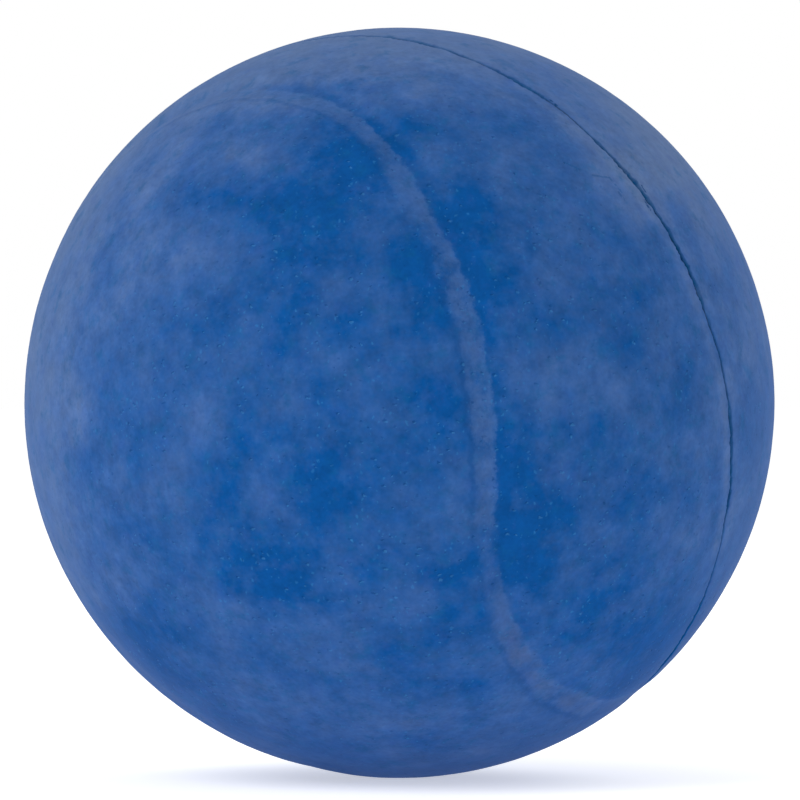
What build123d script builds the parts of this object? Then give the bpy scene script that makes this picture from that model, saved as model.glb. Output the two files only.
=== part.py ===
from build123d import *
import os
from math import asin, atan2, cos, degrees, pi, radians, sin, sqrt

# Sponge-rubber ball with a tennis-style seam.
#
# The ball's centre is the origin and +Z is up. The pieces are drawn in the seam's own axes, where
# its turning axis is Z: a quarter turn about it with a flip through the middle plane maps the seam
# onto itself. The pieces are turned at the end into the way that the ball lies.

# Driving dimensions, in millimetres and degrees.
BALL_DIAMETER = 65.0
SKIN_THICKNESS = 1.6

# The seam is a closed groove of four circular lobes, joined by four great-circle stretches.
SEAM_WIDTH = 3.7  # between the sharp lips, before they are rounded
SEAM_DEPTH = 0.46  # from the ball's surface to the groove's floor
SEAM_LIP_RADIUS = 0.6
SEAM_LIP_RISE = 0.01  # how far a lip's circle passes the ball's surface, which leaves a faint edge
LOBE_TILT = 65.2  # from the turning axis to a lobe's own axis
LOBE_SPREAD = 46.2  # from a lobe's own axis to the middle of the groove

# The joint of the two skin halves: a wedge of rubber under a fine open notch. Its plane stands a
# little off the plane at 45 degrees that mirrors one half of the seam onto the other.
JOINT_HEADING = 43.5  # from the first crossing round to the joint's normal
NOTCH_WIDTH = 0.36
NOTCH_DEPTH = 0.28
BEAD_TIP_WIDTH = 0.16
BEAD_ROOT_WIDTH = 1.4

# How the ball lies: turned on its turning axis, leaned to the left, then tipped to the front.
LIE_TURN = 13.0
LIE_LEAN = -21.7
LIE_TIP = 4.25

CUT_OVERRUN = 2.0  # how far each cutter reaches past the surface that it cuts

# Worked out from the sizes above.
BALL_RADIUS = BALL_DIAMETER / 2
CORE_RADIUS = BALL_RADIUS - SKIN_THICKNESS
CUTTER_RADIUS = BALL_RADIUS + CUT_OVERRUN
BEAD_TIP_RADIUS = BALL_RADIUS - NOTCH_DEPTH

CENTRE = Vector(0, 0, 0)
TURNING_AXIS = Vector(0, 0, 1)
CROSSING = Vector(1, 0, 0)  # the middle of the first great-circle stretch, seen from the centre
LOBE_SIDE = Vector(1, 1, 0).normalized()  # the side of the turning axis that the first lobe leans to
JOINT_NORMAL = CROSSING.rotate(Axis(CENTRE, TURNING_AXIS), JOINT_HEADING)


def tilted(angle):
    """A direction at an angle, in radians, from the turning axis towards the first lobe's side."""
    return TURNING_AXIS * cos(angle) + LOBE_SIDE * sin(angle)


def quarter_turned(direction, quarters):
    """The direction after a number of quarter turns, each with a flip through the middle plane."""
    for _ in range(quarters):
        direction = Vector(-direction.Y, direction.X, -direction.Z)
    return direction


def turn_between(start, end, axis):
    """The signed turn about the axis that takes one direction onto the other, in degrees."""
    flat_start = start - axis * axis.dot(start)
    flat_end = end - axis * axis.dot(end)
    return degrees(atan2(axis.dot(flat_start.cross(flat_end)), flat_start.dot(flat_end)))


def on_circle(radius, angle):
    """A point of a circle round the origin of a section's plane."""
    return Vector(radius * cos(angle), radius * sin(angle))


def mirrored(point):
    """The same point on the other side of a section's middle line."""
    return Vector(point.X, -point.Y)


def groove_outline(direction, travel):
    """The groove's closed outline, in the plane through the ball's centre square to its travel."""
    half_width = SEAM_WIDTH / 2
    lip_drop = SEAM_DEPTH - BALL_RADIUS * (1 - cos(asin(half_width / BALL_RADIUS)))
    floor_radius = (lip_drop**2 + half_width**2) / (2 * lip_drop)
    floor_centre = BALL_RADIUS - SEAM_DEPTH + floor_radius

    # Each lip is an arc that just passes the ball's circle and touches the floor's from outside.
    lip_top = BALL_RADIUS + SEAM_LIP_RISE
    lip_reach = lip_top - SEAM_LIP_RADIUS
    lip_to_floor = floor_radius + SEAM_LIP_RADIUS
    lip_x = (lip_reach**2 - lip_to_floor**2 + floor_centre**2) / (2 * floor_centre)
    lip_centre = Vector(lip_x, sqrt(lip_reach**2 - lip_x**2))
    top_angle = atan2(lip_centre.Y, lip_centre.X)
    foot_angle = atan2(lip_centre.Y, lip_centre.X - floor_centre) - pi

    outside = on_circle(CUTTER_RADIUS, top_angle)
    top = on_circle(lip_top, top_angle)
    bend = lip_centre + on_circle(SEAM_LIP_RADIUS, (top_angle + foot_angle) / 2)
    foot = lip_centre + on_circle(SEAM_LIP_RADIUS, foot_angle)
    edges = [
        Line(top, outside),
        ThreePointArc(outside, on_circle(CUTTER_RADIUS, 0), mirrored(outside)),
        Line(mirrored(outside), mirrored(top)),
        ThreePointArc(mirrored(top), mirrored(bend), mirrored(foot)),
        ThreePointArc(mirrored(foot), on_circle(BALL_RADIUS - SEAM_DEPTH, 0), foot),
        ThreePointArc(foot, bend, top),
    ]
    return Plane(origin=CENTRE, x_dir=direction, z_dir=travel) * Wire(edges)


def groove_stretch(start, axis, turn):
    """The walls of one stretch: its outline turned about an axis through the ball's centre."""
    travel = axis.cross(start).normalized()
    return Shell.revolve(groove_outline(start, travel), turn, Axis(CENTRE, axis)).faces()


def seam_groove():
    """The whole closed groove as one solid, sewn from the walls of its stretches. Where two of them
    meet, their outlines are the same, because a lobe's circle and the great circle touch there."""
    lobe = tilted(radians(LOBE_TILT))
    crest = tilted(radians(LOBE_TILT - LOBE_SPREAD))

    # The great circle through the crossing that just touches the lobe's circle.
    offset = lobe - CROSSING * CROSSING.dot(lobe)
    share = sin(radians(LOBE_SPREAD)) / offset.length
    along = offset.normalized()
    normal = along * share - CROSSING.cross(along) * sqrt(1 - share**2)
    meeting = (lobe - normal * normal.dot(lobe)).normalized()

    lobe_turn = 2 * turn_between(meeting, crest, lobe)
    crossing_turn = 2 * turn_between(meeting, CROSSING, normal)
    walls = []
    for quarter in range(4):
        start = quarter_turned(meeting, quarter)
        handed = -1 if quarter % 2 else 1
        for axis, turn in ((lobe, lobe_turn), (normal, crossing_turn)):
            walls += groove_stretch(start, quarter_turned(axis, quarter), handed * turn)
    return Solid(Shell(walls))


def joint_flank():
    """The back flank of the joint in its section, where X runs outwards in the joint plane and Y
    along the joint's normal: the wedge's root, run on below the core's surface, then its tip, then
    the notch's mouth, run on past the ball's surface."""
    wedge_slope = (BEAD_ROOT_WIDTH - BEAD_TIP_WIDTH) / (BEAD_TIP_RADIUS - CORE_RADIUS)
    notch_slope = (NOTCH_WIDTH - BEAD_TIP_WIDTH) / NOTCH_DEPTH
    root = Vector(CORE_RADIUS - CUT_OVERRUN, (BEAD_ROOT_WIDTH + wedge_slope * CUT_OVERRUN) / 2)
    tip = Vector(BEAD_TIP_RADIUS, BEAD_TIP_WIDTH / 2)
    mouth = Vector(CUTTER_RADIUS, (NOTCH_WIDTH + notch_slope * CUT_OVERRUN) / 2)
    return root, tip, mouth


def turned_on_joint(section):
    """A section through the joint, turned all the way round the joint's normal."""
    plane = Plane(origin=CENTRE, x_dir=TURNING_AXIS, z_dir=TURNING_AXIS.cross(JOINT_NORMAL))
    return revolve(plane * section, Axis(CENTRE, JOINT_NORMAL))


root, tip, mouth = joint_flank()

# The skin's section is the band between the core and the surface, on the joint flank's far side.
far_corners = [(CUTTER_RADIUS, CUTTER_RADIUS), (0, CUTTER_RADIUS)]
beside_joint = make_face(Polyline(CENTRE, root, tip, mouth, *far_corners, close=True))
skin_section = (Circle(BALL_RADIUS) - Circle(CORE_RADIUS)) & beside_joint

# The bead's section is the wedge between the two flanks, from the core out to the notch's floor.
wedge = make_face(Polyline(root, tip, mirrored(tip), mirrored(root), close=True))
bead_section = wedge - Circle(CORE_RADIUS)

groove = seam_groove()
pieces = {
    "foam_core": Sphere(CORE_RADIUS),
    "front_skin_half": turned_on_joint(mirror(skin_section, Plane.XZ)) - groove,
    "back_skin_half": turned_on_joint(skin_section) - groove,
    "joint_bead": turned_on_joint(bead_section) - groove,
}

# Each piece is turned to lie as the ball does, and written to a file of its own.
lie = Rotation(LIE_TIP, LIE_LEAN, LIE_TURN)
os.makedirs("parts", exist_ok=True)
for name, piece in pieces.items():
    placed = lie * piece
    placed.label = name
    export_step(placed, f"parts/{name}.step")
    print(name, len(placed.solids()), "solid", round(placed.volume, 2), "mm3")
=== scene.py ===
"""A matt blue sponge-rubber ball with a sunk seam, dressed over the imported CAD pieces."""

import math

import bpy
import numpy as np
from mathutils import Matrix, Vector, noise


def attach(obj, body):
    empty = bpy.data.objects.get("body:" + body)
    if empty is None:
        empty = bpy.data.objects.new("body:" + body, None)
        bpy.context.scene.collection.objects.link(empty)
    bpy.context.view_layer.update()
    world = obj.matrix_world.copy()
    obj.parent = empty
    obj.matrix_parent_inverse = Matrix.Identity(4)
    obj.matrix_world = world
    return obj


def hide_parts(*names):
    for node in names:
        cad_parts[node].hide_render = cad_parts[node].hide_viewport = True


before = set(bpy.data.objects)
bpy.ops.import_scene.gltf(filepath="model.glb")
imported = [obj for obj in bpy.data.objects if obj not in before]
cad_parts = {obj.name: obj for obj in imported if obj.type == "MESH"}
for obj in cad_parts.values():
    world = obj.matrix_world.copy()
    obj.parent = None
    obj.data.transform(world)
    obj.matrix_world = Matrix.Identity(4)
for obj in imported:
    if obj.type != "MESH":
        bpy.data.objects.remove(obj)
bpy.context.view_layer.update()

# Lengths are in millimetres up to the meshes, which are in metres.
MM = 0.001
BALL_RADIUS = 32.5
CORE_RADIUS = 30.9
SURFACE_DIP = 0.012  # the outer skin lies this far under the ball's radius, so that it stays in the box

# The seam: a closed groove of lobes and great-circle stretches, as the CAD pieces have it.
SEAM_WIDTH = 3.7
SEAM_DEPTH = 0.46
SEAM_LIP_RADIUS = 0.6
LOBE_TILT = math.radians(65.2)
LOBE_SPREAD = math.radians(46.2)
GROOVE_LEAN = 0.35  # how far the groove's deepest line lies off its middle
JOINT_HEADING = math.radians(43.5)

# The joint: an open notch over a bead of rubber.
NOTCH_WIDTH = 0.36
NOTCH_DEPTH = 0.28
BEAD_TIP_WIDTH = 0.16
BEAD_ROOT_WIDTH = 1.4
BEAD_CROWN = 0.02  # how far the bead's middle stands over the edges of its tip

# How the ball lies.
LIE_TURN = math.radians(13.0)
LIE_LEAN = math.radians(-21.7)
LIE_TIP = math.radians(4.25)

CAMERA_DISTANCE = 15.9 * BALL_RADIUS

GRID = 264  # cells across a skin half's outer dome
COARSENING = 4  # outer cells to one cell of the inner dome
CORE_GRID = 96  # cells across each of the core's six sides

NOISE_SHIFT = (17.3, -9.1, 5.7)  # how much farther along each next seed reads the noise
NOISE_ROUGHNESS = 0.6
NOISE_LACUNARITY = 2.1


def turning(axis, angle):
    """A turn about X, Y or Z as a 3 by 3 array."""
    c, s = math.cos(angle), math.sin(angle)
    i, j = {"X": (1, 2), "Y": (2, 0), "Z": (0, 1)}[axis]
    m = np.eye(3)
    m[i, i], m[j, j], m[i, j], m[j, i] = c, c, -s, s
    return m


LIE = turning("X", LIE_TIP) @ turning("Y", LIE_LEAN) @ turning("Z", LIE_TURN)


def unit(v):
    """A vector, or each row of several, brought to length 1."""
    v = np.asarray(v, float)
    return v / np.linalg.norm(v, axis=-1, keepdims=True)


def smooth(low, high, x):
    """A smooth step from 0 to 1."""
    t = np.clip((x - low) / (high - low), 0, 1)
    return t * t * (3 - 2 * t)


def bumps(points, size, seed, octaves=3):
    """Soft noise of about -1 to 1 at points in millimetres, with lumps of the given size."""
    shift = Vector([seed * step for step in NOISE_SHIFT])
    places = [Vector(p) / size + shift for p in points]
    basis = "PERLIN_ORIGINAL"
    return np.array(
        [noise.fractal(p, NOISE_ROUGHNESS, NOISE_LACUNARITY, octaves, noise_basis=basis) for p in places]
    )


def seen(places):
    """Directions in the seam's axes of places on the ball's face as the camera sees them, given as
    shares of its outline's radius to the right of its middle and above it."""
    places = np.asarray(places, float)
    reach = math.sqrt(CAMERA_DISTANCE**2 - BALL_RADIUS**2)
    right, up = places.T * BALL_RADIUS / reach
    rays = unit(np.c_[right, np.ones(len(places)), up])
    ahead = rays[:, 1] * CAMERA_DISTANCE
    inside = np.maximum(ahead**2 - reach**2, 0)
    points = rays * (ahead - np.sqrt(inside))[:, None] - np.array([0, CAMERA_DISTANCE, 0])
    return unit(points) @ LIE


def seam_stretches():
    """The seam's stretches, each with its axis, its start, its spread from the axis, the turn that it
    runs through, and the sign of the distances from it."""
    lobe_side = unit([1, 1, 0])
    lobe = np.array([0, 0, math.cos(LOBE_TILT)]) + lobe_side * math.sin(LOBE_TILT)
    crest_angle = LOBE_TILT - LOBE_SPREAD
    crest = np.array([0, 0, math.cos(crest_angle)]) + lobe_side * math.sin(crest_angle)
    crossing = np.array([1.0, 0, 0])
    offset = lobe - crossing * crossing.dot(lobe)
    share = math.sin(LOBE_SPREAD) / np.linalg.norm(offset)
    along = unit(offset)
    normal = along * share - np.cross(crossing, along) * math.sqrt(1 - share**2)
    meeting = unit(lobe - normal * normal.dot(lobe))

    def turn_between(start, end, axis):
        a = start - axis * axis.dot(start)
        b = end - axis * axis.dot(end)
        return math.atan2(axis.dot(np.cross(a, b)), a.dot(b))

    lobe_turn = 2 * turn_between(meeting, crest, lobe)
    link_turn = 2 * turn_between(meeting, crossing, normal)
    quarter = np.array([[0, -1, 0], [1, 0, 0], [0, 0, -1.0]])
    stretches = []
    for k in range(4):
        q = np.linalg.matrix_power(quarter, k)
        handed = -1 if k % 2 else 1
        for axis, spread, turn in ((lobe, LOBE_SPREAD, lobe_turn), (normal, math.pi / 2, link_turn)):
            stretches.append((q @ axis, q @ meeting, spread, handed * turn, handed))
    return stretches


STRETCHES = seam_stretches()
STRETCH_SLACK = 0.02  # how far each stretch is taken past its ends, in radians
FAR_FROM_SEAM = 99.0  # the distance given where no stretch is near


def seam_side(directions):
    """Signed distance in millimetres from the seam's middle, for directions in the seam's axes."""
    best = np.full(len(directions), FAR_FROM_SEAM)
    for axis, start, spread, turn, handed in STRETCHES:
        a = start - axis * axis.dot(start)
        across = directions - np.outer(directions @ axis, axis)
        angle = np.arctan2(np.cross(np.broadcast_to(a, across.shape), across) @ axis, across @ a)
        travel = angle * np.sign(turn)
        past = np.where(travel < -STRETCH_SLACK, travel + 2 * math.pi, travel)
        inside = past <= abs(turn) + STRETCH_SLACK
        gap = handed * (spread - np.arccos(np.clip(directions @ axis, -1, 1))) * BALL_RADIUS
        best = np.where(inside & (np.abs(gap) < np.abs(best)), gap, best)
    return best


# The groove as the photograph shows it, place by place on the face. Right and up are shares of the
# outline's radius. Then come the groove's stray from the plain curve, the middle and half width of
# its pale band from its own middle (all three in millimetres, positive towards the left or down), the
# strengths of the pale band, which is chalk and painted light on the groove's near wall, of the bare
# strip beside it, which is bare rubber and painted shade on the groove's far wall, and of the dust in
# it, and the depth's share.
SEAM_PLACES = [
    (-0.50, 0.80, -0.40, 1.00, 0.80, 0.50, 0.30, 0.0, 0.70),
    (-0.31, 0.82, -0.05, 1.00, 0.75, 0.65, 0.60, 0.0, 0.80),
    (-0.22, 0.80, 0.15, 0.90, 0.75, 0.75, 0.90, 0.0, 0.90),
    (-0.13, 0.75, 0.30, 0.80, 0.80, 0.75, 0.90, 0.1, 1.00),
    (-0.05, 0.69, 0.32, 1.20, 0.80, 0.60, 0.90, 0.1, 1.00),
    (0.02, 0.61, 0.36, 1.30, 1.10, 0.55, 0.90, 0.1, 1.00),
    (0.09, 0.52, 0.20, 1.80, 1.20, 0.48, 0.90, 0.1, 1.00),
    (0.14, 0.41, -0.16, 1.15, 1.10, 0.60, 0.90, 0.1, 1.00),
    (0.17, 0.31, -0.48, 0.90, 1.25, 1.25, 1.00, 0.1, 1.00),
    (0.19, 0.19, -0.58, 0.60, 1.00, 0.85, 0.80, 0.1, 1.00),
    (0.22, 0.07, -0.55, 0.75, 0.95, 0.90, 0.40, 0.1, 1.00),
    (0.23, -0.06, -0.41, 0.65, 0.95, 1.10, 0.40, 0.2, 1.00),
    (0.24, -0.18, -0.18, 0.60, 0.85, 1.00, 1.10, 0.3, 1.00),
    (0.25, -0.31, -0.06, 0.80, 0.90, 0.60, 1.20, 0.3, 1.00),
    (0.26, -0.45, -0.07, 0.85, 0.70, 0.35, 0.90, 0.4, 0.90),
    (0.28, -0.55, 0.02, 0.50, 0.80, 0.40, 0.30, 1.0, 0.80),
    (0.31, -0.65, 0.05, 0.10, 0.90, 0.58, 0.00, 1.8, 0.60),
    (0.36, -0.73, 0.00, -0.10, 0.95, 0.75, 0.00, 1.4, 0.40),
    (0.47, -0.80, -0.15, -0.60, 1.05, 0.90, 0.00, 0.9, 0.22),
    (0.60, -0.79, 0.00, -0.80, 1.10, 0.35, 0.00, 0.5, 0.12),
]
SEAM_ELSEWHERE = (0.0, 0.8, 1.0, 0.6, 0.6, 0.4, 1.0)
ELSEWHERE_WEIGHT = 0.02
PLACE_REACH = 2.6  # how far a place's looks carry along the groove

# The same looks along the left limb, in its upper and in its lower part. LIMB_SIDE points at its
# middle. The pairs are where the limb's looks begin and are full: by distance towards that side, by
# distance in front of the outline or behind it, and by height, all as shares of the ball's radius.
LIMB_SIDE = np.array([-0.966, 0, -0.259])
LIMB_ABOVE = (-1.1, 0.8, 1.0, 0.0, 0.0, 0.0, 0.2)
LIMB_BELOW = (-1.8, 0.8, 1.0, 0.0, 0.0, 0.0, 0.12)
LIMB_SIDEWAYS = (0.3, 0.6)
LIMB_DEPTHWAYS = (0.45, 0.25)
LIMB_LOWER_PART = (0.1, -0.4)


def seam_looks(directions):
    """The groove's stray, its band's middle and half width, the strengths of the pale band (chalk and
    painted light), of the bare strip (bare rubber and painted shade) and of the dust, and the depth's
    share."""
    table = np.array(SEAM_PLACES)
    gaps = np.linalg.norm(directions[:, None] - seen(table[:, :2])[None], axis=2) * BALL_RADIUS
    weights = np.exp(-((gaps / PLACE_REACH) ** 2))
    looks = weights @ table[:, 2:] + ELSEWHERE_WEIGHT * np.array(SEAM_ELSEWHERE)
    looks = looks / (weights.sum(1) + ELSEWHERE_WEIGHT)[:, None]

    # Along the left limb the groove strays outwards and fades.
    view = directions @ LIE.T
    limb = smooth(*LIMB_SIDEWAYS, view @ LIMB_SIDE) * smooth(*LIMB_DEPTHWAYS, np.abs(view[:, 1]))
    low = smooth(*LIMB_LOWER_PART, view[:, 2])[:, None]
    faded = (1 - low) * np.array(LIMB_ABOVE) + low * np.array(LIMB_BELOW)
    return (looks + limb[:, None] * (faded - looks)).T


def groove_drop(offset):
    """How far the groove's wall lies under the ball's surface, for a distance from its middle. The
    groove leans: its deepest line is nearer to the side where the offset is negative."""
    half = SEAM_WIDTH / 2
    offset = offset + GROOVE_LEAN * np.clip(1 - (offset / half) ** 2, 0, 1)

    # The floor is an arc, and an arc of the lip's radius joins it to the ball's surface on each side.
    lip_drop = SEAM_DEPTH - BALL_RADIUS * (1 - math.cos(math.asin(half / BALL_RADIUS)))
    floor_radius = (lip_drop**2 + half**2) / (2 * lip_drop)
    floor_centre = BALL_RADIUS - SEAM_DEPTH + floor_radius
    reach = BALL_RADIUS - SEAM_LIP_RADIUS
    to_floor = floor_radius + SEAM_LIP_RADIUS
    lip_x = (reach**2 - to_floor**2 + floor_centre**2) / (2 * floor_centre)
    lip_y = math.sqrt(reach**2 - lip_x**2)
    foot = math.atan2(lip_y, lip_x - floor_centre) - math.pi
    foot_at = math.atan2(lip_y + SEAM_LIP_RADIUS * math.sin(foot), lip_x + SEAM_LIP_RADIUS * math.cos(foot))
    top_at = math.atan2(lip_y, lip_x)

    angle = np.abs(offset) / BALL_RADIUS
    inner = np.minimum(angle, foot_at)
    on_floor = floor_centre * np.cos(inner) - np.sqrt(floor_radius**2 - (floor_centre * np.sin(inner)) ** 2)
    outer = np.clip(angle, foot_at, top_at) - top_at
    on_lip = reach * np.cos(outer) + np.sqrt(SEAM_LIP_RADIUS**2 - (reach * np.sin(outer)) ** 2)
    return BALL_RADIUS - np.where(angle < foot_at, on_floor, on_lip)


# The joint's frame in the seam's axes.
JOINT_NORMAL = np.array([math.cos(JOINT_HEADING), math.sin(JOINT_HEADING), 0])
JOINT_UP = np.array([0, 0, 1.0])
JOINT_SIDE = np.cross(JOINT_NORMAL, JOINT_UP)

# Places along the joint as the photograph shows them, by azimuth in degrees round its normal: how far
# the line wanders from the joint plane in millimetres, then the reach of the front lip and of the
# back lip from it, and the notch's depth, as shares of the plain notch's.
JOINT_PLACES = [
    (0, 0.0, 0.9, 0.9, 1.0),
    (13, 0.1, 0.9, 0.9, 0.5),
    (22, 0.3, 1.2, 1.2, 0.5),
    (26, 0.28, 1.3, 1.3, 0.5),
    (32, 0.18, 1.2, 1.2, 0.5),
    (36, 0.08, 1.2, 1.2, 0.7),
    (40, 0.06, 0.9, 0.9, 0.4),
    (44, 0.05, 1.2, 1.1, 0.9),
    (48, 0.06, 1.1, 1.1, 0.8),
    (50, 0.12, 1.0, 1.2, 1.1),
    (52, 0.2, 0.6, 0.6, 0.4),
    (56, 0.23, 0.5, 0.5, 0.25),
    (59, 0.12, 0.6, 0.5, 0.4),
    (61, 0.1, 0.9, 0.9, 0.7),
    (63, 0.12, 1.2, 1.1, 1.2),
    (66, 0.18, 1.2, 1.0, 1.2),
    (68, 0.24, 1.4, 1.2, 1.1),
    (70, 0.30, 1.6, 1.7, 1.2),
    (72, 0.30, 1.1, 1.2, 0.9),
    (74, 0.27, 1.3, 1.2, 1.0),
    (76, 0.27, 1.0, 1.0, 0.8),
    (78, 0.3, 1.3, 1.1, 1.0),
    (80, 0.33, 1.2, 1.1, 0.9),
    (82.5, 0.32, 1.9, 1.4, 1.2),
    (84, 0.3, 1.7, 1.3, 1.1),
    (86, 0.28, 1.5, 1.2, 1.0),
    (88, 0.22, 1.6, 1.4, 1.0),
    (90, 0.12, 1.2, 1.2, 0.8),
    (92, 0.05, 0.7, 0.7, 0.4),
    (94, 0.1, 0.9, 0.9, 0.6),
    (96, 0.18, 0.9, 0.8, 0.65),
    (100, 0.33, 0.8, 0.8, 0.65),
    (104, 0.22, 0.7, 0.7, 0.5),
    (108, 0.3, 1.5, 1.3, 1.3),
    (112, 0.22, 1.6, 1.3, 1.3),
    (116, 0.14, 1.0, 0.9, 0.8),
    (120, 0.26, 1.6, 1.2, 1.3),
    (124, -0.08, 0.9, 0.8, 0.9),
    (128, 0.08, 0.6, 0.6, 0.4),
    (132, 0.06, 0.6, 0.6, 0.4),
    (136, 0.2, 0.8, 0.7, 0.6),
    (140, 0.4, 1.4, 1.1, 1.1),
    (144, 0.35, 1.5, 1.2, 1.1),
    (148, 0.45, 1.8, 1.3, 1.3),
    (152, 0.5, 1.8, 1.3, 1.3),
    (158, 0.45, 1.3, 1.0, 1.0),
    (170, 0.3, 0.7, 0.7, 0.7),
    (200, 0.0, 1.0, 1.0, 1.0),
    (260, 0.0, 0.9, 1.1, 1.0),
    (310, 0.0, 1.1, 0.9, 1.1),
]
JOINT_TABLE = np.array(JOINT_PLACES, float)
JOINT_FLUTTER = 0.04  # the line's own small wander between those places
LIP_LUMPS = 0.7  # how much a lip's reach changes in lumps, and in small tears, as shares of it
LIP_TEARS = 0.5
LIP_CLEARANCE = 0.01  # how far a lip stays clear of the bead's tip, at least
DEPTH_CHANGE = 0.35
DEPTH_LIMITS = (0.15, 1.6)


def ragged_lip(share, ring, lumps, tears):
    """A lip's reach from the joint's line, with the size and seed of its lumps and of its tears."""
    ragged = 1 + LIP_LUMPS * bumps(ring, *lumps) + LIP_TEARS * bumps(ring, *tears)
    return np.maximum(share * ragged * NOTCH_WIDTH / 2, BEAD_TIP_WIDTH / 2 + LIP_CLEARANCE)


def joint_line(azimuth):
    """The joint's wander, its front and back lips' reach and its depth in millimetres, and the share
    of painted shade in its notch, which follows its depth, by azimuth in radians."""
    degrees = np.degrees(azimuth) % 360
    wander, front, back, depth = (
        np.interp(degrees, JOINT_TABLE[:, 0], JOINT_TABLE[:, k], period=360) for k in (1, 2, 3, 4)
    )
    ring = np.c_[np.cos(azimuth), np.sin(azimuth), np.zeros_like(azimuth)] * BALL_RADIUS
    wander = wander + JOINT_FLUTTER * bumps(ring, 1.0, seed=9)
    front = ragged_lip(front, ring, lumps=(0.9, 1), tears=(0.4, 14))
    back = ragged_lip(back, ring, lumps=(0.8, 2), tears=(0.35, 15))
    depth = np.clip(depth * (1 + DEPTH_CHANGE * bumps(ring, 1.2, seed=3)), *DEPTH_LIMITS)
    return wander, front, back, depth * NOTCH_DEPTH, np.minimum(depth, 1)


def joint_points(radius, azimuth, height):
    """Points in the seam's axes at a distance from the ball's centre, an azimuth and a height over
    the joint plane."""
    flat = np.sqrt(np.maximum(radius**2 - height**2, 0))
    return (
        np.outer(flat * np.cos(azimuth), JOINT_UP)
        + np.outer(flat * np.sin(azimuth), JOINT_SIDE)
        + np.outer(height * np.ones_like(azimuth), JOINT_NORMAL)
    )


# The skin's soft unevenness: the height and size of its broad swells and of its dimples, and how
# far the noise of both is lowered, which keeps nearly all of it under the ball's radius.
SWELL_HEIGHT, SWELL_SIZE = 0.03, 14.0
DIMPLE_HEIGHT, DIMPLE_SIZE = 0.012, 2.4
UNEVEN_SINK = 0.6
GROOVE_WAVE, GROOVE_WAVE_SIZE = 0.1, 9.0  # how much the groove's depth changes, as a share of it


def surface_radius(directions):
    """The dressed skin's distance from the ball's centre, for directions in the seam's axes."""
    places = directions * BALL_RADIUS
    swells = SWELL_HEIGHT * (bumps(places, SWELL_SIZE, seed=4, octaves=2) - UNEVEN_SINK)
    dimples = DIMPLE_HEIGHT * (bumps(places, DIMPLE_SIZE, seed=5) - UNEVEN_SINK)
    stray, *_, depth = seam_looks(directions)
    depth = depth * (1 + GROOVE_WAVE * bumps(places, GROOVE_WAVE_SIZE, seed=6, octaves=2))
    drop = groove_drop(seam_side(directions) - stray) * depth
    return BALL_RADIUS - SURFACE_DIP + np.minimum(swells + dimples, 0) - drop
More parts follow.
